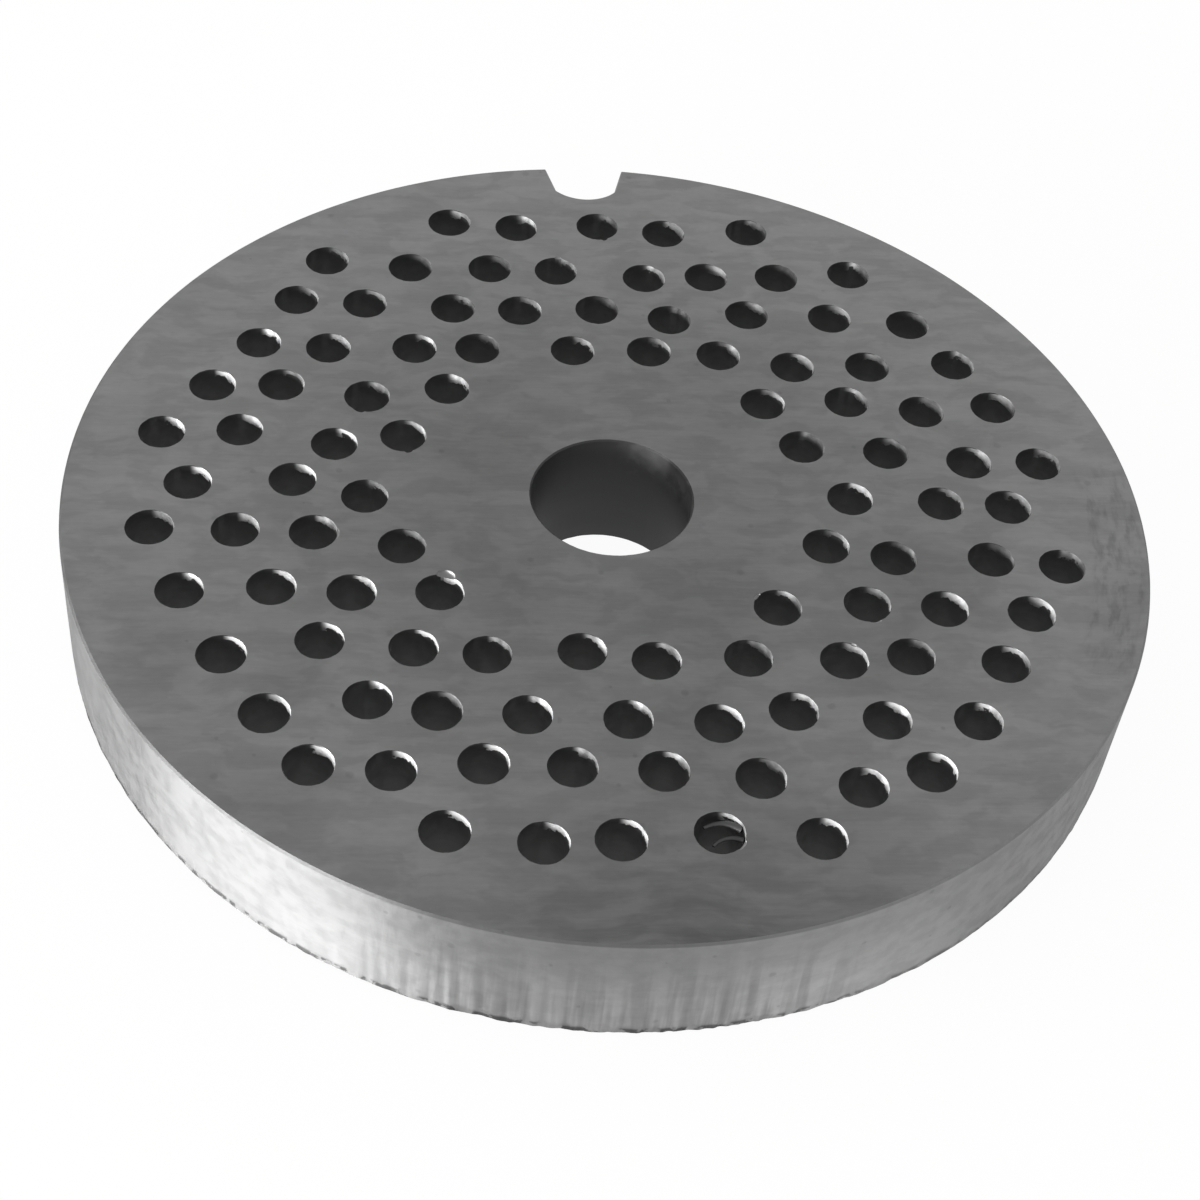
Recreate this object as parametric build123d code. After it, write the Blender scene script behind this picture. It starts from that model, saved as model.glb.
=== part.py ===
"""Perforated plate for a size 12 meat grinder: one turned, drilled and notched disc of steel.

The origin is on the axis of the bore, in the discharge face. +Z points to the cutting face,
which the knife sweeps, and +Y points out through the locating notch. Lengths are millimetres.
"""

from build123d import *
import os
import random
from math import cos, hypot, radians, sin, sqrt, tan

# The turned blank
PLATE_DIAMETER = 70.0
PLATE_THICKNESS = 9.0
BORE_DIAMETER = 10.5
BORE_EDGE_BREAK = 0.1
CUTTING_EDGE_BREAK = 0.15
DISCHARGE_EDGE_BREAK = 0.35

# The drilled field: a grid of equal triangles, not quite square to the notch, with bare lands
# round the bore, rim and notch
HOLE_DIAMETER = 3.0
HOLE_PITCH = 5.3
GRID_TURN = -1.0
HUB_LAND = 5.5
RIM_LAND = 3.0
NOTCH_LAND = 1.5

# The locating notch: a bowed root with small corners, and flanks that lean out towards the rim
NOTCH_DEPTH = 3.7
NOTCH_ROOT_WIDTH = 4.6
NOTCH_ROOT_RADIUS = 2.9
NOTCH_CORNER_RADIUS = 0.7
NOTCH_FLANK_LEAN = 15.5

# The drill left the grid a little at every hole. The slip along the row and across it is drawn
# afresh for each hole, up to this share of the web between two holes. Below 0.36 no two meet.
DRILL_WANDER = 0.3
WANDER_SEED = 12

# How far a cutter runs past the surface that it opens
OVERCUT = 1.0

PLATE_RADIUS = PLATE_DIAMETER / 2
BORE_RADIUS = BORE_DIAMETER / 2
HOLE_RADIUS = HOLE_DIAMETER / 2
NOTCH_ROOT_Y = PLATE_RADIUS - NOTCH_DEPTH


def turned_blank():
    """The disc as it leaves the lathe: its section turned about the bore's axis."""
    with BuildPart() as blank:
        with BuildSketch(Plane.XZ):
            with Locations((BORE_RADIUS, 0)):
                Rectangle(PLATE_RADIUS - BORE_RADIUS, PLATE_THICKNESS, align=(Align.MIN, Align.MIN))
        revolve(axis=Axis.Z)
        edges = blank.edges().filter_by(GeomType.CIRCLE)
        rim_edges = edges.group_by(SortBy.RADIUS)[-1].sort_by(Axis.Z)
        chamfer(edges.group_by(SortBy.RADIUS)[0], BORE_EDGE_BREAK)
        chamfer(rim_edges[0], DISCHARGE_EDGE_BREAK)
        chamfer(rim_edges[-1], CUTTING_EDGE_BREAK)
    return blank.part


def notch_cutter():
    """The bar that cuts the notch: its root is a shallow arc between two leaning flanks."""
    corner_x = NOTCH_ROOT_WIDTH / 2
    corner_y = NOTCH_ROOT_Y + NOTCH_ROOT_RADIUS - sqrt(NOTCH_ROOT_RADIUS**2 - corner_x**2)
    mouth_y = PLATE_RADIUS + OVERCUT
    mouth_x = corner_x + (mouth_y - corner_y) * tan(radians(NOTCH_FLANK_LEAN))
    with BuildPart() as cutter:
        with BuildSketch(Plane.XY.offset(-OVERCUT)) as profile:
            with BuildLine():
                ThreePointArc((-corner_x, corner_y), (0, NOTCH_ROOT_Y), (corner_x, corner_y))
                Polyline(
                    (corner_x, corner_y), (mouth_x, mouth_y), (-mouth_x, mouth_y), (-corner_x, corner_y)
                )
            make_face()
            fillet(profile.vertices().sort_by(Axis.Y)[:2], NOTCH_CORNER_RADIUS)
        extrude(amount=PLATE_THICKNESS + 2 * OVERCUT)
    return cutter.part


def on_plate(along, across):
    """Where a place on the grid lies on the plate."""
    turn = radians(GRID_TURN)
    return along * cos(turn) - across * sin(turn), along * sin(turn) + across * cos(turn)


def has_a_hole(x, y):
    """Whether a grid point is clear of the lands round the bore, the rim and the notch."""
    from_axis = hypot(x, y)
    off_hub = from_axis - HOLE_RADIUS >= BORE_RADIUS + HUB_LAND
    off_rim = from_axis + HOLE_RADIUS <= PLATE_RADIUS - RIM_LAND
    from_notch = hypot(x, y - NOTCH_ROOT_Y - NOTCH_ROOT_RADIUS)
    off_notch = from_notch - HOLE_RADIUS >= NOTCH_ROOT_RADIUS + NOTCH_LAND
    return off_hub and off_rim and off_notch


def hole_centres():
    """The centre of each hole: the grid places that are drilled, each with its slip."""
    luck = random.Random(WANDER_SEED)
    web = HOLE_PITCH - HOLE_DIAMETER
    reach = int(PLATE_DIAMETER / HOLE_PITCH)
    centres = []
    for row in range(-reach, reach + 1):
        for place in range(-2 * reach, 2 * reach + 1):
            along = HOLE_PITCH * (place + row / 2)
            across = HOLE_PITCH * row * sqrt(3) / 2
            if not has_a_hole(*on_plate(along, across)):
                continue
            slip_along = web * luck.uniform(-DRILL_WANDER, DRILL_WANDER)
            slip_across = web * luck.uniform(-DRILL_WANDER, DRILL_WANDER)
            centres.append(on_plate(along + slip_along, across + slip_across))
    return centres


def drill_cutter(centres):
    """All the drilled holes as straight bars through the plate."""
    with BuildPart() as cutter:
        with BuildSketch(Plane.XY.offset(-OVERCUT)):
            with Locations(*centres):
                Circle(HOLE_RADIUS)
        extrude(amount=PLATE_THICKNESS + 2 * OVERCUT)
    return cutter.part


def grinder_plate():
    """The finished plate: the blank, drilled and then notched."""
    centres = hole_centres()
    plate = turned_blank() - drill_cutter(centres) - notch_cutter()
    print(f"plate: {len(centres)} holes, {plate.volume / 1000:.2f} cm3, valid {plate.is_valid}")
    return plate


os.makedirs("parts", exist_ok=True)
plate = grinder_plate()
plate.label = "plate"
export_step(plate, "parts/plate.step")
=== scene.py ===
# %% [markdown]
# # A meat grinder plate
# A meat grinder pushes meat through a plate like this one, and a knife sweeps over its upper face.
# The plate is one disc of steel, about as wide as a palm. It has a bore in the middle for the
# feed screw, a notch in the rim that stops it from turning, and a field of small drilled holes.
# The CAD part gives its true size. This lesson models the same disc again, with the marks that
# its making and its use left on it, and then gives each of its surfaces a finish of its own.

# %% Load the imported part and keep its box
import math
import random

import bmesh
import bpy
from mathutils import Matrix, Vector


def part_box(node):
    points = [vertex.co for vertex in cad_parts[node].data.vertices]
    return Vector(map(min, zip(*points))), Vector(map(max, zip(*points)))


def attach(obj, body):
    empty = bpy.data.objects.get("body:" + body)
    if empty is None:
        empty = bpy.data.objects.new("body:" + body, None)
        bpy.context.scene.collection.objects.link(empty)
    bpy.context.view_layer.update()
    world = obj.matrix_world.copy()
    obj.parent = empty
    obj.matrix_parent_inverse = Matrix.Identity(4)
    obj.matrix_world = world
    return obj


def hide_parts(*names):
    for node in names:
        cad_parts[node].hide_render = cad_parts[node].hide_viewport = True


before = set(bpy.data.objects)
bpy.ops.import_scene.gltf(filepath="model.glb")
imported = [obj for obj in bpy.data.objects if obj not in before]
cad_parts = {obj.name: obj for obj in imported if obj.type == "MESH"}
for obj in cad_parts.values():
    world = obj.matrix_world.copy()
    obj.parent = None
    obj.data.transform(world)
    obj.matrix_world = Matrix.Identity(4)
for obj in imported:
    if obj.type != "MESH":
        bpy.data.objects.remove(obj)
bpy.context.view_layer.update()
cad_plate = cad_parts["plate"]
MM = 0.001

# %% [markdown]
# ## Small helpers
# An operator acts on whatever is selected, so each step first says what that is. The helpers below
# pick one object, open it for editing, and select what passes a test of place or direction.


# %% Helpers for picking things
def pick_object(piece):
    """Makes this the only selected object, and the active one."""
    bpy.ops.object.select_all(action="DESELECT")
    piece.select_set(True)
    bpy.context.view_layer.objects.active = piece


def edit(piece):
    """Opens a piece for editing, with all of it selected."""
    pick_object(piece)
    bpy.ops.object.mode_set(mode="EDIT")
    bpy.ops.mesh.select_mode(type="VERT")
    bpy.ops.mesh.select_all(action="SELECT")


def leave():
    bpy.ops.object.mode_set(mode="OBJECT")


def pick(piece, kind, wanted):
    """In edit mode, selects only the verts, edges or faces that pass the test."""
    bpy.ops.mesh.select_all(action="DESELECT")
    bpy.ops.mesh.select_mode(type={"verts": "VERT", "edges": "EDGE", "faces": "FACE"}[kind])
    mesh = bmesh.from_edit_mesh(piece.data)
    for element in getattr(mesh, kind):
        if wanted(element):
            element.select_set(True)
    mesh.select_flush_mode()
    bmesh.update_edit_mesh(piece.data)


def apply_modifiers(piece):
    pick_object(piece)
    for modifier in list(piece.modifiers):
        bpy.ops.object.modifier_apply(modifier=modifier.name)


# %% [markdown]
# ## One finish for each way of working the steel
# All of the plate is one steel, but each surface looks as the tool left it: the two faces are
# ground, the rim is turned, the holes are drilled, the bore is reamed and the notch is milled. The
# materials are named here and get their nodes later, because a cut gives the new surface the
# material of the tool that cut it.

# %% Name the materials
finishes = {}
for name in ("turned", "drilled", "reamed", "milled", "chipped", "swarf", "ground", "underside"):
    finishes[name] = bpy.data.materials.new(name)
    finishes[name].use_nodes = True

# %% [markdown]
# ## Measure the drilled holes
# The holes stand on a grid of triangles, but the drill wandered, so the grid doesn't give their
# places. The CAD mesh knows them. A copy of it is merged, all but its upright faces are deleted,
# and the walls that are left fall apart into loose rings, one for each hole. The box of each ring
# gives its centre.


# %% Find the walls in a copy of the CAD mesh
def loose_walls():
    probe = bpy.data.objects.new("probe", cad_plate.data.copy())
    bpy.context.collection.objects.link(probe)
    edit(probe)
    bpy.ops.mesh.remove_doubles(threshold=0.001 * MM)
    pick(probe, "faces", lambda face: abs(face.normal.z) > 0.1)
    bpy.ops.mesh.delete(type="FACE")
    bpy.ops.mesh.select_all(action="SELECT")
    bpy.ops.mesh.separate(type="LOOSE")
    leave()
    return list(bpy.context.selected_objects)


walls = []
for wall in loose_walls():
    corners = [Vector(corner) for corner in wall.bound_box]
    low, high = corners[0], corners[6]
    walls.append((round((high - low).x / 2 / MM, 3) * MM, (low + high) / 2))
    bpy.data.objects.remove(wall)

walls.sort(key=lambda wall: (wall[0], wall[1].y, wall[1].x))
RIM_RADIUS = walls[-1][0]
BORE_RADIUS = walls[-2][0]
HOLE_RADIUS = walls[0][0]
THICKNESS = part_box("plate")[1].z
hole_centres = sorted((centre.xy for radius, centre in walls[:-2]), key=lambda c: (c.y, c.x))
print(len(hole_centres), "holes of", round(2 * HOLE_RADIUS / MM, 2), "mm, bore",
      round(2 * BORE_RADIUS / MM, 2), "mm, rim", round(2 * RIM_RADIUS / MM, 2), "mm")

# %% [markdown]
# ## A tool for round solids
# The blank and every drill are round. Each one starts as a circle, and its rim is extruded to the
# next height and scaled to the radius that it has there. That gives bevels and rows of edges just
# where they are wanted. The ends are closed with single faces, which cut cleanly later.


# %% Build a round wall ring by ring
def add_rings(rings):
    """Extrudes the selected outline through the rings, which are (height, radius) pairs. The first
    pair says where the outline is now."""
    height, radius = rings[0]
    for next_height, next_radius in rings[1:]:
        bpy.ops.mesh.extrude_region_move(
            TRANSFORM_OT_translate={"value": (0, 0, next_height - height)})
        scale = next_radius / radius
        bpy.ops.transform.resize(value=(scale, scale, 1), center_override=(0, 0, next_height))
        height, radius = next_height, next_radius


def circle(name, steps, radius, height, filled=True):
    bpy.ops.object.select_all(action="DESELECT")
    bpy.ops.mesh.primitive_circle_add(vertices=steps, radius=radius, location=(0, 0, height),
                                      fill_type="NGON" if filled else "NOTHING")
    piece = bpy.context.active_object
    piece.name = name
    bpy.ops.object.transform_apply(location=True)
    return piece


def face_outwards():
    bpy.ops.mesh.select_all(action="SELECT")
    bpy.ops.mesh.normals_make_consistent(inside=False)


def turned(name, steps, rings, closed=True):
    """A round solid, or an open tube, whose axis is Z."""
    height, radius = rings[0]
    piece = circle(name, steps, radius, height, filled=closed)
    edit(piece)
    add_rings(rings)
    face_outwards()
    leave()
    return piece


# %% [markdown]
# ## The rim
# The rim is rough. The tool chattered, and left short upright ridges that start about a quarter of
# the way down and grow towards the lower edge. A bump in the finish would look much the same from
# the front, but the outline would stay smooth. So the ridges are real. The wall is made first, as
# an open tube with many narrow columns and a few rows, and the relief is pushed in while every
# normal still points straight out.

# %% The wall of the rim, as an open tube
RIM_STEPS = 1440
CUTTING_BREAK = 0.15 * MM
DISCHARGE_BREAK = 0.35 * MM
ROW_SPACING = 0.42 * MM

wall_height = THICKNESS - CUTTING_BREAK - DISCHARGE_BREAK
row_count = math.ceil(wall_height / ROW_SPACING)
row_step = wall_height / row_count
rim_rings = [(DISCHARGE_BREAK + row * row_step, RIM_RADIUS) for row in range(row_count + 1)]
plate = turned("grinder_plate", RIM_STEPS, rim_rings, closed=False)
plate.data.materials.append(finishes["turned"])
print("rim:", len(plate.data.vertices), "vertices")

# %% [markdown]
# A Displace modifier moves points by the brightness of a texture, and a UV map says how the
# texture lies on the rim. These maps aren't squeezed into a square. On the first, a texture's size
# is in millimetres. On the other two, the pattern is drawn out upright, and the width of one band
# of the wood texture is the spacing of the ridges. All three begin at the notch, which cuts the
# seam away.

# %% Three UV maps for the rim
RIDGE_SPACING = 1.18 * MM
FINE_SPACING = 0.74 * MM
RIDGE_LEAN = 0.04             # how far the ridges lean, as a share of their height
WOOD_BAND = math.pi / 10      # the width of one band of the wood texture, in UV units
TEXTURE_UNIT = 0.5            # the width of one unit of a texture's size, in UV units


def turn_from_notch(place):
    """The angle round the axis, from just past the notch and all the way round to it."""
    return math.atan2(place.x, -place.y)


def map_rim(name, across, upright):
    layer = plate.data.uv_layers.new(name=name)
    for polygon in plate.data.polygons:
        middle = turn_from_notch(polygon.center)
        for corner in polygon.loop_indices:
            place = plate.data.vertices[plate.data.loops[corner].vertex_index].co
            turn = turn_from_notch(place)
            turn += 2 * math.pi * round((middle - turn) / (2 * math.pi))
            layer.data[corner].uv = (turn * RIM_RADIUS * across, place.z * upright)


map_rim("millimetres", TEXTURE_UNIT / MM, TEXTURE_UNIT / MM)
map_rim("ridges", WOOD_BAND / RIDGE_SPACING, RIDGE_LEAN * WOOD_BAND / RIDGE_SPACING)
map_rim("fine_ridges", WOOD_BAND / FINE_SPACING, -RIDGE_LEAN * WOOD_BAND / FINE_SPACING)
print("UV maps:", plate.data.uv_layers.keys())

# %% [markdown]
# A vertex group says how strongly each point is moved. The ridges need one that grows downwards,
# and that also changes on the way round, because the tool chattered most on one side.

# %% Vertex groups for the rim
# How strong the chatter is, by the angle in degrees from the side that is opposite the notch
CHATTER = [(-180, 0.4), (-90, 0.1), (-40, 0.1), (-22, 0.25), (-13, 0.9), (12, 0.9), (22, 0.4),
           (34, 0.05), (80, 0.05), (130, 0.6), (180, 0.4)]
RIDGES_START = 0.72           # the height where the ridges start, as a share of the thickness
RIDGES_GROW = 0.5             # the height over which they grow to full strength
QUIET_EDGE = 0.35             # what is left of the ragged lower edge where nothing chattered
EDGE_REACH = 0.7 * MM         # how far up from the wall's foot the ragged edge reaches


def chatter(place):
    turn = math.degrees(turn_from_notch(place))
    for (start, before), (end, after) in zip(CHATTER, CHATTER[1:]):
        if turn <= end:
            return before + (after - before) * (turn - start) / (end - start)
    return CHATTER[-1][1]


def ridges_here(place):
    """None in the top quarter, and full from some way above the lower edge."""
    downwards = (RIDGES_START * THICKNESS - place.z) / (RIDGES_GROW * THICKNESS)
    return chatter(place) * max(0.0, min(1.0, downwards))


def lower_edge_here(place):
    """Only the rows next to the lower edge, and less where there is little chatter."""
    upwards = (place.z - DISCHARGE_BREAK) / EDGE_REACH
    return (QUIET_EDGE + (1 - QUIET_EDGE) * chatter(place)) * max(0.0, 1.0 - upwards)


for name, share in {"ridges": ridges_here, "lower_edge": lower_edge_here}.items():
    group = plate.vertex_groups.new(name=name)
    for vertex in plate.data.vertices:
        group.add([vertex.index], share(vertex.co), "REPLACE")
print("vertex groups:", plate.vertex_groups.keys())


# %% [markdown]
# The relief is a stack of six Displace modifiers. The wood texture draws bands, which are the two
# sets of ridges. Cloud textures make the slow waves, the grit and the ragged lower edge, which is
# pushed inwards and also up and down.


# %% Push the relief in
def push(name, texture, depth, uv_map="millimetres", group="", direction="NORMAL", middle=1.0):
    """Adds a Displace modifier. With a middle of 1, white stays and black goes in by the depth."""
    modifier = plate.modifiers.new(name, "DISPLACE")
    modifier.texture = texture
    modifier.texture_coords = "UV"
    modifier.uv_layer = uv_map
    modifier.vertex_group = group
    modifier.direction = direction
    modifier.strength = depth
    modifier.mid_level = middle
    print(name, "pushed by up to", round(depth / MM, 3), "mm")


def clouds(name, size, contrast=1.0):
    """A cloud texture whose spots are this many millimetres wide."""
    texture = bpy.data.textures.new(name, "CLOUDS")
    texture.noise_scale = size
    texture.contrast = contrast
    return texture


def bands(name, unevenness, brightness):
    """Bands for ridges. More brightness makes the crests broad and the grooves narrow."""
    texture = bpy.data.textures.new(name, "WOOD")
    texture.wood_type = "BANDNOISE"
    texture.noise_basis_2 = "SIN"
    texture.noise_scale = 0.8
    texture.turbulence = unevenness
    texture.contrast = 1.5
    texture.intensity = brightness
    return texture


push("ridges", bands("ridges", 6.0, 1.25), 0.022 * MM, "ridges", "ridges")
push("fine_ridges", bands("fine_ridges", 6.0, 1.1), 0.012 * MM, "fine_ridges", "ridges")
push("waves", clouds("waves", 6.0), 0.02 * MM)
push("grit", clouds("grit", 0.9), 0.008 * MM)
push("ragged", clouds("ragged", 1.1, contrast=2.0), 0.14 * MM, group="lower_edge")
push("torn_and_shaded", clouds("torn_and_shaded", 1.2, contrast=1.6), 0.14 * MM, group="lower_edge", direction="Z",
     middle=0.5)
apply_modifiers(plate)

# %% [markdown]
# Now the two edge breaks and the faces are added. The open loop at each end is selected by its
# height, extruded, scaled in and filled.


# %% Close the blank
def close_end(face_height, edge_break, test):
    edit(plate)
    pick(plate, "edges", lambda edge: edge.is_boundary and test(edge.verts[0].co.z))
    bpy.ops.mesh.extrude_region_move(TRANSFORM_OT_translate={"value": (0, 0, 0)})
    scale = (RIM_RADIUS - edge_break) / RIM_RADIUS
    bpy.ops.transform.resize(value=(scale, scale, 0), center_override=(0, 0, face_height))
    bpy.ops.mesh.edge_face_add()
    face_outwards()
    leave()


close_end(0, DISCHARGE_BREAK, lambda height: height < THICKNESS / 2)
close_end(THICKNESS, CUTTING_BREAK, lambda height: height > THICKNESS / 2)
print("blank:", len(plate.data.vertices), "vertices")

# %% [markdown]
# ## Drills
# A drill is a rod with a short cone at each end, which breaks the hole's edges where it passes the
# plate's faces. Real lips are never even, so a handful of drills is made, each with its lips
# shaken a little by a seeded randomize. Every hole is drilled with a copy of one of them, turned
# by chance, so that no two look alike. All the copies are joined later, and cut in one go.

# %% The drills
OVERCUT = 0.02 * MM
HOLE_STEPS = 40
BORE_STEPS = 160
LIP_BREAKS = [0.01 * MM, 0.015 * MM, 0.02 * MM, 0.03 * MM, 0.04 * MM]
BORE_BREAK = 0.1 * MM
LIP_SHAKE = 0.02 * MM
BORE_SHAKE = 0.01 * MM
luck = random.Random(7)


def through(radius, lip_break):
    """The rings of a cutter that runs through the plate and breaks both edges."""
    wide = radius + lip_break + OVERCUT
    return [(-OVERCUT, wide), (lip_break, radius), (THICKNESS / 2, radius),
            (THICKNESS - lip_break, radius), (THICKNESS + OVERCUT, wide)]


def drill(name, finish, steps, radius, lip_break, shake, seed):
    """A drill whose rings are all shaken but the middle one, and then made level again."""
    rings = through(radius, lip_break)
    middle_row = len(rings) // 2
    piece = turned(name, steps, rings)
    piece.data.materials.append(finishes[finish])
    edit(piece)
    pick(piece, "verts", lambda vertex: vertex.index // steps != middle_row)
    bpy.ops.transform.vertex_random(offset=shake, uniform=0.6, normal=0.0, seed=seed)
    for row, (height, ring_radius) in enumerate(rings):
        pick(piece, "verts", lambda vertex: vertex.index // steps == row)
        bpy.ops.transform.resize(value=(1, 1, 0), center_override=(0, 0, height))
    leave()
    return piece


drills = [drill(f"drill_{index}", "drilled", HOLE_STEPS, HOLE_RADIUS, lip_break, LIP_SHAKE, index)
          for index, lip_break in enumerate(LIP_BREAKS)]
cutters = [drill("reamer", "reamed", BORE_STEPS, BORE_RADIUS, BORE_BREAK, BORE_SHAKE, seed=9)]

# %% One drill for each hole
for centre in hole_centres:
    pattern = luck.choice(drills)
    bit = pattern.copy()
    bit.data = pattern.data.copy()
    bpy.context.collection.objects.link(bit)
    bit.rotation_euler.z = luck.uniform(0, 2 * math.pi)
    bit.location = (centre.x, centre.y, 0)
    cutters.append(bit)
for pattern in drills:
    bpy.data.objects.remove(pattern)
print(len(cutters), "cutters")

# %% [markdown]
# ## The notch
# The root of the notch is a shallow arc, and its flanks lean outwards. Its outline could be worked
# out point by point, but it is simpler to cut it from a circle. The cutter starts as a filled
# circle of the root's radius. The outer half is moved out past the rim and widened, and a leaning
# cut on each side leaves the two flanks. The outline is then extruded like the drills.

# %% The notch cutter
NOTCH_DEPTH = 3.7 * MM
NOTCH_ROOT_WIDTH = 4.6 * MM
NOTCH_ROOT_RADIUS = 2.9 * MM
NOTCH_FLANK_LEAN = math.radians(15.5)
NOTCH_REACH = 3 * MM
NOTCH_WIDENING = 1.6
NOTCH_BREAK = 0.1 * MM
NOTCH_STEPS = 96

notch_rings = through(NOTCH_ROOT_RADIUS, NOTCH_BREAK)
notch_cutter = circle("notch_cutter", NOTCH_STEPS, notch_rings[0][1], notch_rings[0][0])
edit(notch_cutter)
pick(notch_cutter, "verts", lambda vertex: vertex.co.y > 0)
bpy.ops.transform.resize(value=(NOTCH_WIDENING, 1, 1), center_override=(0, 0, 0))
bpy.ops.transform.translate(value=(0, NOTCH_REACH, 0))

corner_x = NOTCH_ROOT_WIDTH / 2
corner_y = -math.sqrt(NOTCH_ROOT_RADIUS ** 2 - corner_x ** 2)
for side in (-1, 1):
    bpy.ops.mesh.select_all(action="SELECT")
    outwards = (side * math.cos(NOTCH_FLANK_LEAN), -math.sin(NOTCH_FLANK_LEAN), 0)
    bpy.ops.mesh.bisect(plane_co=(side * corner_x, corner_y, 0), plane_no=outwards,
                        clear_outer=True)
bpy.ops.mesh.select_all(action="SELECT")
add_rings(notch_rings)
face_outwards()
notch_centre_y = RIM_RADIUS - NOTCH_DEPTH + NOTCH_ROOT_RADIUS
bpy.ops.transform.translate(value=(0, notch_centre_y, 0))
leave()
notch_cutter.data.materials.append(finishes["milled"])
cutters.append(notch_cutter)
print("notch:", round(NOTCH_DEPTH / MM, 2), "mm deep")


# %% Cut everything in one go
def cut_away(piece, tools):
    """Joins the tools into one object and takes it off the piece. Where tools overlap each other,
    the cut can leave nothing, so that stops the script."""
    bpy.ops.object.select_all(action="DESELECT")
    for tool in tools:
        tool.select_set(True)
    bpy.context.view_layer.objects.active = tools[0]
    bpy.ops.object.join()
    joined = bpy.context.active_object
    pick_object(piece)
    cut = piece.modifiers.new("cut", "BOOLEAN")
    cut.operation = "DIFFERENCE"
    cut.solver = "EXACT"
    cut.material_mode = "TRANSFER"
    cut.object = joined
    bpy.ops.object.modifier_apply(modifier=cut.name)
    bpy.data.objects.remove(joined)
    if not piece.data.polygons:
        raise RuntimeError("the cut left nothing of " + piece.name)


cut_away(plate, cutters)
print("drilled:", len(plate.data.vertices), "vertices,", len(plate.data.polygons), "faces")

# %% [markdown]
# ## Nicks
# The knife and scraps of bone have bitten small pieces out of the cutting face, at a few lips. A
# nick is what a flattened ball cuts off, so each cutter is an icosphere, scaled to its length,
# width and depth and turned to lie along the lip. One chip is larger than the rest. Where the
# others sit is drawn from the seed. Two balls mustn't overlap, or the cut fails. With this seed no
# hole gets two.

# %% Bite the nicks out of the cutting face
CHIP_NEAR = Vector((-11, -8)) * MM
CHIP_DIRECTION = math.radians(75)
LIP_NICKS = 9


def lip_nick(hole, direction, length, width, depth):
    """A ball for a nick on the lip of a hole. Its sizes are in millimetres."""
    place = hole + HOLE_RADIUS * Vector((math.cos(direction), math.sin(direction)))
    bpy.ops.mesh.primitive_ico_sphere_add(
        subdivisions=3, radius=0.5 * MM, location=(place.x, place.y, THICKNESS),
        rotation=(0, 0, direction + math.pi / 2), scale=(length, width, 2 * depth))
    ball = bpy.context.active_object
    ball.data.materials.append(finishes["chipped"])
    return ball


chip_hole = min(hole_centres, key=lambda centre: (centre - CHIP_NEAR).length)
balls = [lip_nick(chip_hole, CHIP_DIRECTION, length=1.2, width=0.9, depth=0.25)]
for hole in luck.sample(hole_centres, LIP_NICKS):
    balls.append(lip_nick(hole, luck.uniform(0, 2 * math.pi), luck.uniform(0.4, 0.9),
                          luck.uniform(0.2, 0.4), luck.uniform(0.06, 0.15)))
cut_away(plate, balls)
print("nicked:", len(plate.data.vertices), "vertices,", len(plate.data.polygons), "faces")

# %% [markdown]
# ## Shading
# The round walls are shaded smooth, so that their facets don't show. The two ground faces are dead
# flat, so they are picked by their direction, shaded flat, and given finishes of their own.

# %% Smooth the walls, keep the faces flat
LEVEL = 0.999      # how far a normal points straight up or down on a level face
WALL_ANGLE = math.radians(32)


def give_finish(piece, name, wanted):
    """Adds a material to the piece and gives it to the faces that pass the test."""
    piece.data.materials.append(finishes[name])
    piece.active_material_index = len(piece.data.materials) - 1
    edit(piece)
    pick(piece, "faces", wanted)
    bpy.ops.object.material_slot_assign()
    bpy.ops.mesh.faces_shade_flat()
    leave()


pick_object(plate)
bpy.ops.object.shade_smooth_by_angle(angle=WALL_ANGLE)
give_finish(plate, "ground", lambda face: face.normal.z > LEVEL)
give_finish(plate, "underside", lambda face: face.normal.z < -LEVEL)
for index, slot in enumerate(plate.material_slots):
    print(slot.name, sum(polygon.material_index == index for polygon in plate.data.polygons))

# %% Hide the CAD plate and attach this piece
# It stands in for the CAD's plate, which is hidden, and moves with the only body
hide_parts("plate")
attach(plate, "root")

# %% [markdown]
# ## The lit side of the holes
# The key lamp lights one side of every hole's mouth, and the finish paints a highlight there as
# well. The finish has to know which side that is, but no pattern can tell where the middle of a
# hole is. The mesh can: an attribute holds how squarely each corner of a wall faces the other way.

# %% An attribute for the side with the painted highlight
# The direction from a hole's middle to the wall that faces the key lamp and gets a painted
# highlight
GLINT_DIRECTION = math.radians(28)
towards_glint = Vector((math.cos(GLINT_DIRECTION), math.sin(GLINT_DIRECTION), 0))
glint_side = plate.data.attributes.new("glint_side", "FLOAT", "CORNER")
for corner, stored in zip(plate.data.corner_normals, glint_side.data):
    stored.value = max(0.0, -corner.vector.dot(towards_glint))
print("burr side stored for", len(glint_side.data), "corners")

# %% [markdown]
# ## A curl of swarf
# The drill left swarf in one hole near the front, still held by the wall just under the lip. It is
# two strands. A curve with a bevel could make them, but extruding by hand keeps the taper simple.
# Each strand starts as a small oval outline in the wall. Each step extrudes it, turns it a little
# about the upright axis and shrinks it, so that it curls across the mouth to a point.

# %% The curl
CURL_PLACE = Vector((5.0, -27.8)) * MM
CURL_STEP = 0.2 * MM
CURL_TAPER = 0.92
STRAND_SIDES = 12
# From the middle of the hole's mouth to the root in mm, the first heading and the bend of each step
# in degrees, the number of steps, and the width and thickness at the root in mm
STRANDS = [((1.4, 0.55, -0.4), 145, 6, 12, 0.4, 0.6), ((1.45, 0.0, -0.7), 158, 8, 10, 0.3, 0.45)]


def turn(angle, axis, centre):
    """With no window the operator turns the other way, hence the minus."""
    bpy.ops.transform.rotate(value=-angle, orient_axis=axis, center_override=centre)


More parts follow.
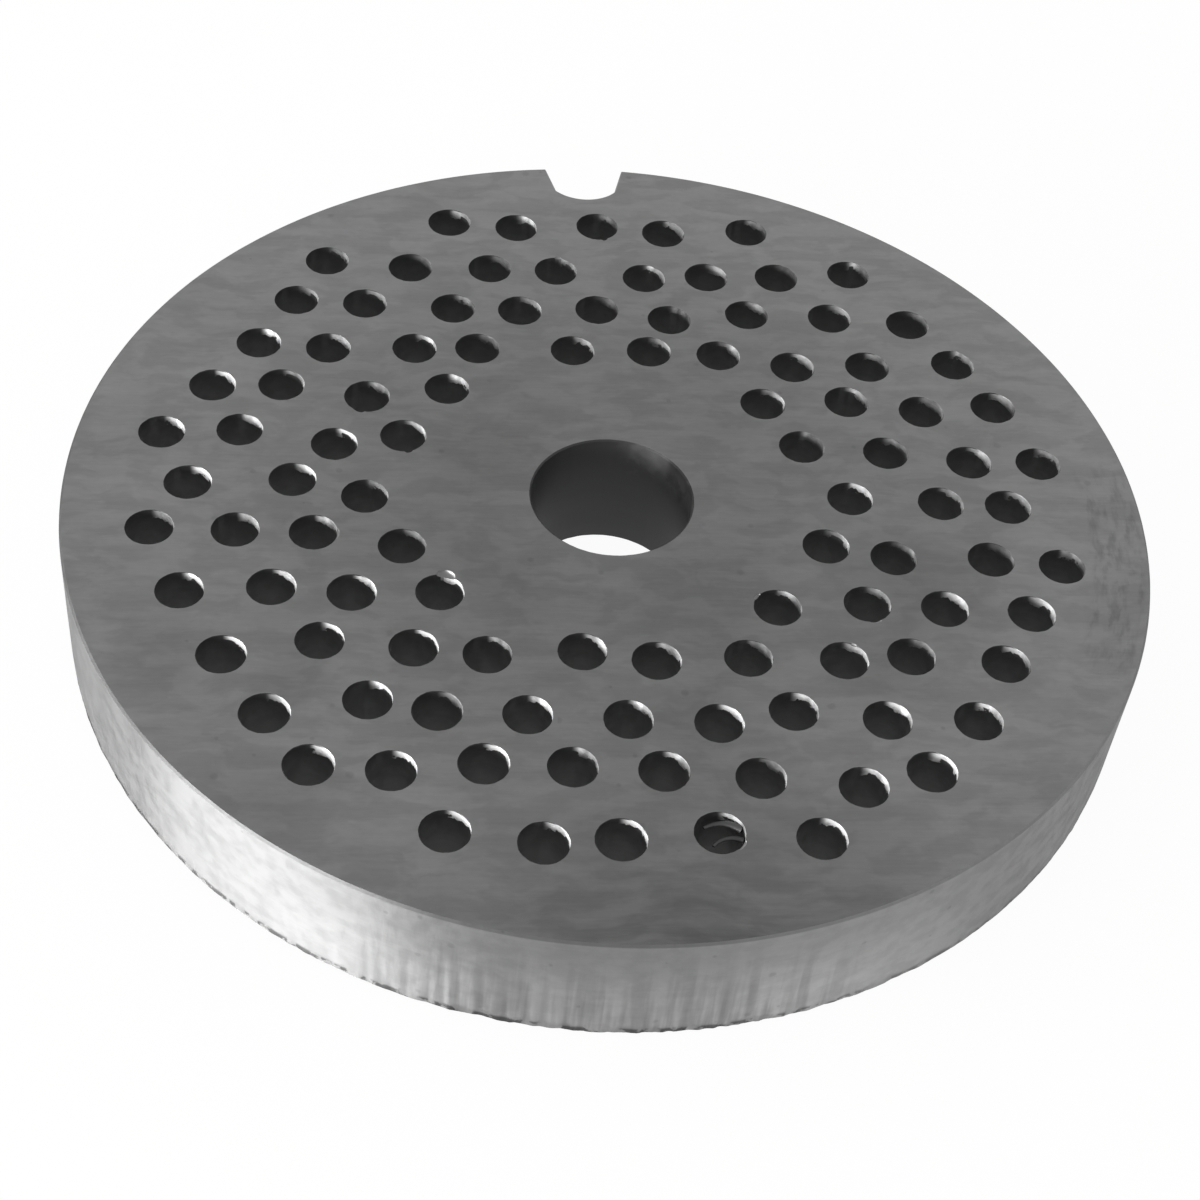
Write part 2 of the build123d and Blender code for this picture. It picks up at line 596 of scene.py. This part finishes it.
def strand(root, start, bend, steps, width, thickness):
    centre = Vector((curl_hole.x, curl_hole.y, THICKNESS)) + Vector(root) * MM
    heading, bend = math.radians(start), math.radians(bend)
    piece = circle("swarf_curl", STRAND_SIDES, width * MM / 2, 0)
    edit(piece)
    bpy.ops.transform.resize(value=(1, thickness / width, 1), center_override=(0, 0, 0))
    turn(math.radians(90), "Y", (0, 0, 0))
    turn(heading, "Z", (0, 0, 0))
    bpy.ops.transform.translate(value=centre)
    for step in range(steps):
        move = Vector((math.cos(heading), math.sin(heading), 0)) * CURL_STEP
        bpy.ops.mesh.extrude_region_move(TRANSFORM_OT_translate={"value": move})
        centre = centre + move
        turn(bend, "Z", centre)
        bpy.ops.transform.resize(value=(CURL_TAPER,) * 3, center_override=centre)
        heading += bend
    face_outwards()
    leave()
    return piece


curl_hole = min(hole_centres, key=lambda centre: (centre - CURL_PLACE).length)
strands = [strand(*values) for values in STRANDS]
bpy.ops.object.select_all(action="DESELECT")
for piece in strands:
    piece.select_set(True)
curl = strands[0]
bpy.context.view_layer.objects.active = curl
bpy.ops.object.join()
bpy.ops.object.shade_smooth_by_angle(angle=math.radians(50))
curl.data.materials.append(finishes["swarf"])
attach(curl, "root")
print("curl in the hole at", [round(value / MM, 2) for value in curl_hole], "mm")

# %% [markdown]
# ## Tools for the finishes
# A finish is built from a few patterns that several materials share. Each one is a node group, and
# these helpers keep the node code short. Every pattern works in millimetres on the object itself.


# %% Helpers for nodes
def put(tree, socket, value):
    """Links a socket to the socket, or sets a plain value on it."""
    if isinstance(value, bpy.types.NodeSocket):
        tree.links.new(value, socket)
    else:
        socket.default_value = value


def node(tree, kind, settings=None, **values):
    """Adds a node. An underscore in the name of a value stands for a space."""
    made = tree.nodes.new("ShaderNode" + kind)
    for name, setting in (settings or {}).items():
        setattr(made, name, setting)
    for name, value in values.items():
        put(tree, made.inputs[name.replace("_", " ")], value)
    return made


def calc(tree, operation, *values):
    """A sum on numbers."""
    made = node(tree, "Math", {"operation": operation})
    for socket, value in zip(made.inputs, values):
        put(tree, socket, value)
    return made.outputs["Value"]


def calc_place(tree, operation, *values):
    """A sum on places. It gives a place, or a number where the sum is a length."""
    made = node(tree, "VectorMath", {"operation": operation})
    for socket, value in zip(made.inputs, values):
        put(tree, socket, value)
    number = operation in ("LENGTH", "DISTANCE", "DOT_PRODUCT")
    return made.outputs["Value" if number else "Vector"]


def fade(tree, value, start, end, low=0.0, high=1.0):
    """Goes smoothly from low to high while the value goes from start to end."""
    made = node(tree, "MapRange", {"interpolation_type": "SMOOTHSTEP"}, Value=value,
                From_Min=start, From_Max=end, To_Min=low, To_Max=high)
    return made.outputs["Result"]


def blend(tree, share, first, second):
    """The first number where the share is 0, and the second where it is 1."""
    made = tree.nodes.new("ShaderNodeMix")
    for socket, value in ((0, share), (2, first), (3, second)):
        put(tree, made.inputs[socket], value)
    return made.outputs[0]


def vary(tree, value, pattern, amount):
    """Raises and lowers the value by a share, as the pattern goes from 0 to 1."""
    gain = calc(tree, "MULTIPLY_ADD", pattern, amount, 1 - amount / 2)
    return calc(tree, "MULTIPLY", value, gain)


def tint(tree, tone, mask, amount):
    """Changes the tone by a share where the mask is 1. Below 0 it gets darker."""
    gain = calc(tree, "MULTIPLY_ADD", mask, amount, 1.0)
    return calc(tree, "MULTIPLY", tone, gain)


def where_all(tree, first, *others):
    """A mask that is full only where all of these masks are."""
    for mask in others:
        first = calc(tree, "MULTIPLY", first, mask)
    return first


def new_group(name, inputs, output):
    """An empty node group. A default of three numbers makes a vector socket."""
    tree = bpy.data.node_groups.new(name, "ShaderNodeTree")
    for socket_name, default in inputs.items():
        kind = "NodeSocketVector" if isinstance(default, tuple) else "NodeSocketFloat"
        socket = tree.interface.new_socket(socket_name, in_out="INPUT", socket_type=kind)
        socket.default_value = default
    tree.interface.new_socket(output, in_out="OUTPUT", socket_type="NodeSocketFloat")
    return tree, tree.nodes.new("NodeGroupInput").outputs, tree.nodes.new("NodeGroupOutput").inputs


def use(tree, group, **values):
    """Places a group in a material and gives its one output."""
    made = tree.nodes.new("ShaderNodeGroup")
    made.node_tree = group
    for name, value in values.items():
        put(tree, made.inputs[name], value)
    return made.outputs[0]


# %% [markdown]
# The first pattern is plain unevenness, stretched to a size that may differ along X, Y and Z. It
# makes the long lines of a grinding wheel, the rings of a lathe and the blotches of a stain.

# %% The unevenness group
uneven, given, result = new_group("unevenness", {"Place": (0, 0, 0), "Size": (5, 5, 5),
                                                 "Sharpness": 0.5}, "Pattern")
shrunk = calc_place(uneven, "DIVIDE", given["Place"], given["Size"])
noise = node(uneven, "TexNoise", Vector=shrunk, Scale=1, Detail=3, Roughness=0.55)
half_width = calc(uneven, "MULTIPLY_ADD", given["Sharpness"], -0.3, 0.32)
low = calc(uneven, "SUBTRACT", 0.5, half_width)
high = calc(uneven, "ADD", 0.5, half_width)
uneven.links.new(fade(uneven, noise.outputs["Fac"], low, high), result["Pattern"])

# %% [markdown]
# The second pattern is pits. A Voronoi texture deals the surface into cells. Each cell has a
# random colour, and it is used as two dice: the first decides whether the cell has a pit, and the
# second how large it is.

# %% The pits group
pits, given, result = new_group("pits", {"Place": (0, 0, 0), "Spacing": 1.0, "Share": 0.3}, "Pits")
shrunk = calc_place(pits, "DIVIDE", given["Place"], given["Spacing"])
cells = node(pits, "TexVoronoi", Vector=shrunk, Scale=1)
dice = node(pits, "SeparateColor", Color=cells.outputs["Color"])
has_pit = calc(pits, "LESS_THAN", dice.outputs["Red"], given["Share"])
pit_radius = calc(pits, "MULTIPLY_ADD", dice.outputs["Green"], 0.25, 0.1)
inner_radius = calc(pits, "MULTIPLY", pit_radius, 0.4)
hollow = fade(pits, cells.outputs["Distance"], pit_radius, inner_radius)
pits.links.new(calc(pits, "MULTIPLY", hollow, has_pit), result["Pits"])

# %% [markdown]
# The third pattern is a band under the lip. What the finishes lay close to the cutting face, a
# painted highlight on one side of a hole and painted shade around its mouth, reaches down to a
# depth that varies from place to place. The crispness is the share of that depth down to which it
# is full.

# %% The lip band group
lip_band, given, result = new_group("lip_band", {"Place": (0, 0, 0), "Depth": 0.5,
                                                 "Crispness": 0.3, "Unevenness": 0.8}, "Lip")
height = node(lip_band, "SeparateXYZ", Vector=given["Place"]).outputs["Z"]
under = calc(lip_band, "SUBTRACT", THICKNESS / MM, height)
patchy = use(lip_band, uneven, Place=given["Place"], Size=(0.9, 0.9, 0.9), Sharpness=0.6)
depth_here = calc(lip_band, "MULTIPLY_ADD", calc(lip_band, "SUBTRACT", patchy, 0.5),
                  given["Unevenness"], 1.0)
depth_here = calc(lip_band, "MULTIPLY", depth_here, given["Depth"])
shallow = calc(lip_band, "MULTIPLY", depth_here, given["Crispness"])
lip_band.links.new(fade(lip_band, under, depth_here, shallow), result["Lip"])
print("groups:", [group.name for group in (uneven, pits, lip_band)])

# %% [markdown]
# All of the finishes are bare metal, so they share one start. The relief of each is a height that
# goes through a Bump node. The turned rim carries fine rings, which draw a highlight out upright.
# Its anisotropy does that, with the upright direction as its tangent.


# %% The start of every finish
def steel(name, anisotropic=0.0):
    """The tree and the shader of a finish, and the place on the object in millimetres."""
    tree = finishes[name].node_tree
    shader = tree.nodes["Principled BSDF"]
    shader.inputs["Metallic"].default_value = 1
    if anisotropic:
        shader.inputs["Anisotropic"].default_value = anisotropic
        upright = node(tree, "CombineXYZ", Z=1.0)
        tree.links.new(upright.outputs["Vector"], shader.inputs["Tangent"])
    where = node(tree, "TexCoord").outputs["Object"]
    place = node(tree, "VectorMath", {"operation": "SCALE"}, Vector=where, Scale=1 / MM)
    return tree, shader, place.outputs["Vector"]


def finish_off(tree, shader, tone, roughness, relief, depth):
    """Wires up the tone, the roughness and a relief of this depth in millimetres."""
    put(tree, shader.inputs["Base Color"], tone)
    put(tree, shader.inputs["Roughness"], roughness)
    bump = node(tree, "Bump", Strength=1.0, Distance=depth * MM, Height=relief)
    tree.links.new(bump.outputs["Normal"], shader.inputs["Normal"])
    print("a finish of", len(tree.nodes), "nodes")


# %% [markdown]
# ## The ground face
# A surface grinder left fine lines along the rows of holes. Since then the knife has polished the
# middle darker than the edge, and wiping has left streaks and smudges. These lie on a place that a
# noise pushes about, so that they wander as a cloth does.

# %% The cutting face
HUB_TONE = 0.176
EDGE_TONE = 0.224
WANDERING = (5, 2, 0)      # how far the patterns are pushed about, in millimetres

tree, shader, place = steel("ground")
level = calc_place(tree, "MULTIPLY", place, (1, 1, 0))
from_axis = calc_place(tree, "LENGTH", level)
warp = node(tree, "TexNoise", Vector=place, Scale=0.25, Detail=2)
wandering = calc_place(tree, "MULTIPLY_ADD", warp.outputs["Color"], WANDERING, level)
blotches = use(tree, uneven, Place=wandering, Size=(11, 7, 7), Sharpness=0.5)
streaks = use(tree, uneven, Place=wandering, Size=(6, 1, 1), Sharpness=0.5)
smudges = use(tree, uneven, Place=wandering, Size=(3.5, 1.6, 1.6), Sharpness=0.8)
lines = use(tree, uneven, Place=place, Size=(3, 0.25, 0.25), Sharpness=0.3)
grain = use(tree, uneven, Place=place, Size=(0.7, 0.5, 0.5), Sharpness=0.3)

tone = fade(tree, from_axis, 7, 34, HUB_TONE, EDGE_TONE)
for pattern, amount in ((blotches, 0.10), (streaks, 0.07), (smudges, 0.12), (lines, 0.03),
                        (grain, 0.05)):
    tone = vary(tree, tone, pattern, amount)

# %% [markdown]
# Meat juice has stained a few patches, and one wide spot in front is painted shade that darkens the
# near side of the face. Each is a round spot on the same pushed place, so its outline wanders, and
# the streaks wipe through it. Where two spots meet, the stronger one counts. A few small specks are
# pits in the steel.

# %% Stains, painted shade in front, and specks
STAIN_AND_SHADE_DEPTH = 0.2
# Place and radius of each spot in millimetres, and its strength. The wide one at (3, -39) is
# painted shade.
STAINS_AND_FRONT_SHADE = [(-9.0, 3.5, 6, 0.7), (-8, -7, 5, 0.6), (5, -8.5, 6.5, 0.6), (4, -19, 5, 0.9),
          (19, -8, 7, 0.9), (16, -14, 5, 0.7), (12.5, 15, 5.5, 0.5), (-20, -16, 3.5, 0.6),
          (-28, -14, 4, 0.8), (3, -39, 22, 2.0), (-22, -26, 6, 0.6), (26, 6, 3.5, 0.4)]

stained_and_shaded = 0.0
for x, y, radius, strength in STAINS_AND_FRONT_SHADE:
    middle = (x + WANDERING[0] / 2, y + WANDERING[1] / 2, 0)
    distance = calc_place(tree, "DISTANCE", wandering, middle)
    spot = fade(tree, distance, radius, 0.2 * radius, 0.0, strength)
    stained_and_shaded = calc(tree, "MAXIMUM", stained_and_shaded, spot)
stained_and_shaded = calc(tree, "MULTIPLY", stained_and_shaded, calc(tree, "MULTIPLY_ADD", streaks, 0.5, 0.6))
# Painted shade: the wide spot in front darkens the near side of the face, along with the real
# stains
tone = tint(tree, tone, stained_and_shaded, -STAIN_AND_SHADE_DEPTH)
specks = use(tree, pits, Place=place, Spacing=1.1, Share=0.06)
tone = tint(tree, tone, specks, -0.14)

# %% [markdown]
# On one side the edge is scuffed in short dashes that run with it. So the face is unrolled there:
# the way round the axis and the distance from it become the two directions of the pattern.

# %% Scuffs at the edge
SCUFFS_FROM = math.radians(-28)
SCUFFS_TO = math.radians(8)
SCUFFS_FADE = 0.1      # how slowly they start and end, in radians

axes = node(tree, "SeparateXYZ", Vector=level).outputs
around = calc(tree, "ARCTAN2", axes["Y"], axes["X"])
unrolled = node(tree, "CombineXYZ", X=calc(tree, "MULTIPLY", around, RIM_RADIUS / MM), Y=from_axis)
dashes = use(tree, uneven, Place=unrolled.outputs["Vector"], Size=(1.6, 0.5, 1), Sharpness=0.6)
patches = use(tree, uneven, Place=unrolled.outputs["Vector"], Size=(3.5, 1.2, 1), Sharpness=0.7)
scuffed = where_all(tree, dashes, patches,
                    fade(tree, around, SCUFFS_FROM, SCUFFS_FROM + SCUFFS_FADE),
                    fade(tree, around, SCUFFS_TO, SCUFFS_TO - SCUFFS_FADE),
                    fade(tree, from_axis, 31, 31.6),
                    fade(tree, from_axis, 34.8, 34.4))
tone = tint(tree, tone, scuffed, -0.24)

# %% Finish the cutting face
roughness = vary(tree, vary(tree, 0.42, blotches, 0.2), lines, 0.15)
relief = calc(tree, "SUBTRACT", calc(tree, "MULTIPLY_ADD", streaks, 0.5, lines), specks)
finish_off(tree, shader, tone, roughness, relief, 0.004)

# %% [markdown]
# ## The underside
# The discharge face is ground too, but no knife runs on it. It could take the same finish as the
# cutting face, but it has a simpler one: an even tone, longer lines, and more blotches and pits,
# because meat dries there.

# %% The discharge face
tree, shader, place = steel("underside")
blotches = use(tree, uneven, Place=place, Size=(9, 7, 7), Sharpness=0.7)
small = use(tree, uneven, Place=place, Size=(2.5, 1.6, 1.6), Sharpness=0.5)
lines = use(tree, uneven, Place=place, Size=(9, 0.25, 0.25), Sharpness=0.3)
tone = 0.19
for pattern, amount in ((blotches, 0.22), (small, 0.10), (lines, 0.10)):
    tone = vary(tree, tone, pattern, amount)
specks = use(tree, pits, Place=place, Spacing=1.3, Share=0.2)
tone = tint(tree, tone, specks, -0.25)
roughness = vary(tree, vary(tree, 0.48, blotches, 0.2), lines, 0.15)
relief = calc(tree, "SUBTRACT", lines, specks)
finish_off(tree, shader, tone, roughness, relief, 0.004)

# %% [markdown]
# ## The turned rim
# The rim is the brightest surface. Its crests are worn light and its grooves stay dark, and the
# distance from the axis tells them apart. Rings, blotches, scouring and pits lie over that.

# %% The rim
tree, shader, place = steel("turned", anisotropic=0.9)
shader.inputs["Specular Tint"].default_value = (0.15, 0.15, 0.15, 1)
from_axis = calc_place(tree, "LENGTH", calc_place(tree, "MULTIPLY", place, (1, 1, 0)))
height = node(tree, "SeparateXYZ", Vector=place).outputs["Z"]
crest = fade(tree, from_axis, RIM_RADIUS / MM - 0.05, RIM_RADIUS / MM - 0.015)
rings = use(tree, uneven, Place=place, Size=(5, 5, 0.16), Sharpness=0.3)
blotches = use(tree, uneven, Place=place, Size=(1.4, 1.4, 1.1), Sharpness=0.6)
scoured = use(tree, uneven, Place=place, Size=(0.4, 0.4, 1.3), Sharpness=0.6)
pitted = use(tree, pits, Place=place, Spacing=0.9, Share=0.12)
tone = blend(tree, crest, 0.27, 0.33)
for pattern, amount in ((rings, 0.03), (blotches, 0.14), (scoured, 0.04)):
    tone = vary(tree, tone, pattern, amount)
tone = tint(tree, tone, pitted, -0.15)

# %% [markdown]
# Opposite the notch the rim is scraped lighter towards the lower edge. In the middle of that
# stretch the scraping is broken into upright streaks, as chatter leaves them. A stretch on one
# side of the middle is polished a little lighter.

# %% The scraped and polished stretches
axes = node(tree, "SeparateXYZ", Vector=place).outputs
front = fade(tree, axes["Y"], -27, -33)
chattered = use(tree, uneven, Place=place, Size=(0.8, 0.8, 12), Sharpness=0.7)
in_the_middle = where_all(tree, fade(tree, axes["X"], 16, 8), fade(tree, axes["X"], -17, -9))
chattered = blend(tree, in_the_middle, 0.5, chattered)
gain = calc(tree, "MULTIPLY_ADD", chattered, -0.34, 0.46)
scraped = where_all(tree, fade(tree, height, 8.5, 2), front, gain)
tone = tint(tree, tone, scraped, 1.0)
polished = where_all(tree, fade(tree, axes["X"], 0, 8), fade(tree, axes["X"], 27, 15), front)
tone = tint(tree, tone, polished, 0.12)

# %% [markdown]
# The foot of the rim is painted dark in short dashes, painted shade on the teeth of the lower edge,
# most of all on one side.

# %% Painted shade along the lower edge
# The side where the painted shade at the foot is strongest
EDGE_SHADE_TOWARDS = (-0.7, -0.7, 0)

# Painted shade: dark dashes at the foot of the rim, strongest towards one side
torn_and_shaded = use(tree, uneven, Place=place, Size=(0.8, 0.8, 1), Sharpness=0.9)
side = calc_place(tree, "DOT_PRODUCT", place, EDGE_SHADE_TOWARDS)
torn_and_shaded = where_all(tree, torn_and_shaded, fade(tree, height, 0.95, 0.65), fade(tree, side, 5, 25, 0.25, 0.62))
tone = tint(tree, tone, torn_and_shaded, -1.0)

# %% Finish the rim
roughness = vary(tree, vary(tree, 0.55, blotches, 0.1), scoured, 0.1)
relief = calc(tree, "SUBTRACT", calc(tree, "MULTIPLY_ADD", scoured, 0.8, rings), pitted)
finish_off(tree, shader, tone, roughness, relief, 0.002)

# %% [markdown]
# ## The drilled holes, the bore, the notch and the nicks
# The lip on the side of each hole that faces the key lamp carries a painted highlight. Across the
# plate, towards the notch, that painted highlight fades. The rest of the mouth is painted nearly
# black, painted shade of the hole, and deeper down the wall is dull bare steel, painted lighter to
# make up for the light that doesn't reach it. The reamed bore is smoother and dark all the way.
# These finishes share a function and differ only in their values.


# %% Finishes of the cut walls
GLINT_ROUGHNESS = 0.7
BRIGHTEST = 0.95      # no steel is brighter than this
# The direction across the plate in which the painted highlight fades
GLINT_FADES_TOWARDS = (0.45, 0.9, 0)


def glint_falloff(tree, place):
    """What is left of the painted highlight: all of it on one side of the plate, less across it, as
    a painted falloff of the key lamp's light.
    """
    across = calc_place(tree, "DOT_PRODUCT", place, GLINT_FADES_TOWARDS)
    return fade(tree, across, -25, 25, 1.0, 0.38)


def cut_wall(name, deep, mouth_shade, mouth_shade_depth, glint, glint_depth, glint_edge, ring_size, roughness,
             relief_depth):
    tree, shader, place = steel(name)
    rings = use(tree, uneven, Place=place, Size=ring_size, Sharpness=0.3)
    smear = use(tree, uneven, Place=place, Size=(3.5, 3.5, 6), Sharpness=0.6)
    dirt = use(tree, uneven, Place=place, Size=(glint_depth,) * 3, Sharpness=0.6)
    # Painted shade: the mouth of the wall is painted dark down to a varying depth, and below it the
    # wall keeps the lighter deep tone, which makes up for the little light that reaches down there
    shaded_mouth = use(tree, lip_band, Place=place, Depth=mouth_shade_depth, Crispness=-0.15,
                 Unevenness=0.15)
    # Painted highlight: the lip on the side that faces the key lamp is painted bright, down to a
    # varying depth
    side = node(tree, "Attribute", {"attribute_name": "glint_side"}).outputs["Fac"]
    glinting = use(tree, lip_band, Place=place, Depth=glint_depth, Crispness=glint_edge)
    glinting = calc(tree, "MULTIPLY", glinting, fade(tree, side, 0.45, 0.75))
    # Painted shade at the mouth, and painted lighter deeper down
    tone = vary(tree, blend(tree, shaded_mouth, deep, mouth_shade), rings, 0.06)
    bright = vary(tree, vary(tree, glint, dirt, 0.3), smear, 1.2)
    # The painted highlight fades across the plate, as a near lamp's light would
    bright = calc(tree, "MULTIPLY", bright, glint_falloff(tree, place))
    bright = calc(tree, "MINIMUM", bright, BRIGHTEST)
    tone = blend(tree, glinting, tone, bright)
    relief = calc(tree, "MULTIPLY_ADD", dirt, 0.6, rings)
    roughness = blend(tree, glinting, roughness, GLINT_ROUGHNESS)
    finish_off(tree, shader, tone, roughness, relief, relief_depth)


cut_wall("drilled", deep=0.42, mouth_shade=0.035, mouth_shade_depth=3.4, glint=0.8, glint_depth=0.6,
         glint_edge=0.85, ring_size=(3, 3, 0.3), roughness=0.75, relief_depth=0.002)
cut_wall("reamed", deep=0.06, mouth_shade=0.062, mouth_shade_depth=2.0, glint=0.12, glint_depth=2.5,
         glint_edge=0.1, ring_size=(6, 6, 1.5), roughness=0.55, relief_depth=0.0005)
cut_wall("milled", deep=0.24, mouth_shade=0.2, mouth_shade_depth=1.5, glint=0.28, glint_depth=0.3,
         glint_edge=0.3, ring_size=(0.25, 0.25, 5), roughness=0.45, relief_depth=0.006)
cut_wall("swarf", deep=0.11, mouth_shade=0.11, mouth_shade_depth=0.5, glint=0.2, glint_depth=0.4,
         glint_edge=0.3, ring_size=(0.3, 0.3, 0.3), roughness=0.65, relief_depth=0.01)
cut_wall("chipped", deep=0.24, mouth_shade=0.24, mouth_shade_depth=0.5, glint=0.5, glint_depth=0.4,
         glint_edge=0.3, ring_size=(0.5, 0.5, 0.5), roughness=0.6, relief_depth=0.006)

# %% [markdown]
# ## The floor
# The plate lies on a plain white floor. What the camera and the reflections see of it is mostly an
# even glow, and the rest is a matt surface, which keeps the shadow. Brighter lamps would make it
# white too, but they would bleach the steel. It stands a hair above the underside, so that the two
# don't lie in one plane, which would fill a view from below with noise.

# %% The floor
FLOOR_GLOW = 0.95
FLOOR_LIFT = 0.05 * MM
FLOOR_SIDE = 40      # metres, so that its edge is far off in a low view

bpy.ops.object.select_all(action="DESELECT")
bpy.ops.mesh.primitive_plane_add(size=FLOOR_SIDE, location=(0, 0, FLOOR_LIFT))
floor = bpy.context.active_object
floor.name = "floor"
bpy.ops.object.transform_apply(location=True)

# %% Its white
floor_white = bpy.data.materials.new("floor_white")
floor_white.use_nodes = True
tree = floor_white.node_tree
matt = tree.nodes["Principled BSDF"]
matt.inputs["Base Color"].default_value = (0.9, 0.9, 0.9, 1)
matt.inputs["Roughness"].default_value = 0.9
ray = node(tree, "LightPath").outputs
seen = calc(tree, "MAXIMUM", ray["Is Camera Ray"], ray["Is Glossy Ray"])
mixed = node(tree, "MixShader", Fac=calc(tree, "MULTIPLY", seen, FLOOR_GLOW))
glow = node(tree, "Emission", Color=(1, 1, 1, 1), Strength=1.0)
tree.links.new(matt.outputs[0], mixed.inputs[1])
tree.links.new(glow.outputs[0], mixed.inputs[2])
tree.links.new(mixed.outputs[0], tree.nodes["Material Output"].inputs["Surface"])
floor.data.materials.append(floor_white)

# %% [markdown]
# ## The camera
# The camera looks down at the plate from close by, a little from the left, and is rolled a few
# degrees. Its place is a chain of simple moves, read from the last to the first: back from the
# plate, rolled, tilted down, turned round the axis, and set at the height of the cutting face.

# %% The camera
LENS = 69.5
CAMERA_ELEVATION = math.radians(46.7)
CAMERA_AZIMUTH = math.radians(-8.2)
CAMERA_ROLL = math.radians(6.7)
CAMERA_DISTANCE = 149.8 * MM
CAMERA_ASIDE = -0.77 * MM
CAMERA_DOWN = -6.72 * MM

camera_data = bpy.data.cameras.new("camera")
camera_data.lens = LENS
camera_data.clip_start = 1 * MM
camera = bpy.data.objects.new("camera", camera_data)
bpy.context.collection.objects.link(camera)
camera.matrix_world = (
    Matrix.Translation((0, 0, THICKNESS))
    @ Matrix.Rotation(CAMERA_AZIMUTH, 4, "Z")
    @ Matrix.Rotation(math.pi / 2 - CAMERA_ELEVATION, 4, "X")
    @ Matrix.Rotation(CAMERA_ROLL, 4, "Z")
    @ Matrix.Translation((CAMERA_ASIDE, CAMERA_DOWN, CAMERA_DISTANCE))
)
bpy.context.scene.camera = camera
print("camera at", [round(value / MM, 1) for value in camera.matrix_world.translation], "mm")

# %% [markdown]
# ## The light
# Bare metal shows what is around it. A wide low strip of light on the left makes the bright
# stretch of the rim and the crescents on the far lips of the holes. A weaker one behind it lifts
# the left end of the rim. The sky does the rest: it is brighter near the horizon, which the far
# side of the face mirrors, and darker above and in front, which the near side and the holes
# mirror.


# %% Lamps
def soft_light(name, azimuth, elevation, distance, width, height, power):
    lamp_data = bpy.data.lights.new(name, "AREA")
    lamp_data.shape = "RECTANGLE"
    lamp_data.size = width
    lamp_data.size_y = height
    lamp_data.energy = power
    lamp = bpy.data.objects.new(name, lamp_data)
    bpy.context.collection.objects.link(lamp)
    turn, rise = math.radians(azimuth), math.radians(elevation)
    toward = Vector((math.cos(turn) * math.cos(rise), math.sin(turn) * math.cos(rise),
                     math.sin(rise)))
    lamp.location = toward * distance
    lamp.rotation_euler = toward.to_track_quat("Z", "Y").to_euler()
    print(name, "lamp:", power, "W")


soft_light("key", -150, 10, distance=0.5, width=0.40, height=0.08, power=3.4)
soft_light("side", 168, 9, distance=0.5, width=0.25, height=0.08, power=0.45)

# %% Sky
world = bpy.data.worlds.new("studio")
bpy.context.scene.world = world
world.use_nodes = True
tree = world.node_tree
towards = node(tree, "SeparateXYZ", Vector=node(tree, "TexCoord").outputs["Generated"]).outputs
by_height = node(tree, "MapRange", Value=towards["Z"], From_Min=0.35, From_Max=1.0,
                 To_Min=1.1, To_Max=0.6)
in_front = node(tree, "MapRange", Value=towards["Y"], From_Min=-1.0, From_Max=-0.2,
                To_Min=0.6, To_Max=1.0)
sky = tree.nodes["Background"]
sky.inputs["Color"].default_value = (1, 1, 1, 1)
put(tree, sky.inputs["Strength"],
    calc(tree, "MULTIPLY", by_height.outputs["Result"], in_front.outputs["Result"]))
bpy.context.scene.view_settings.view_transform = "Standard"
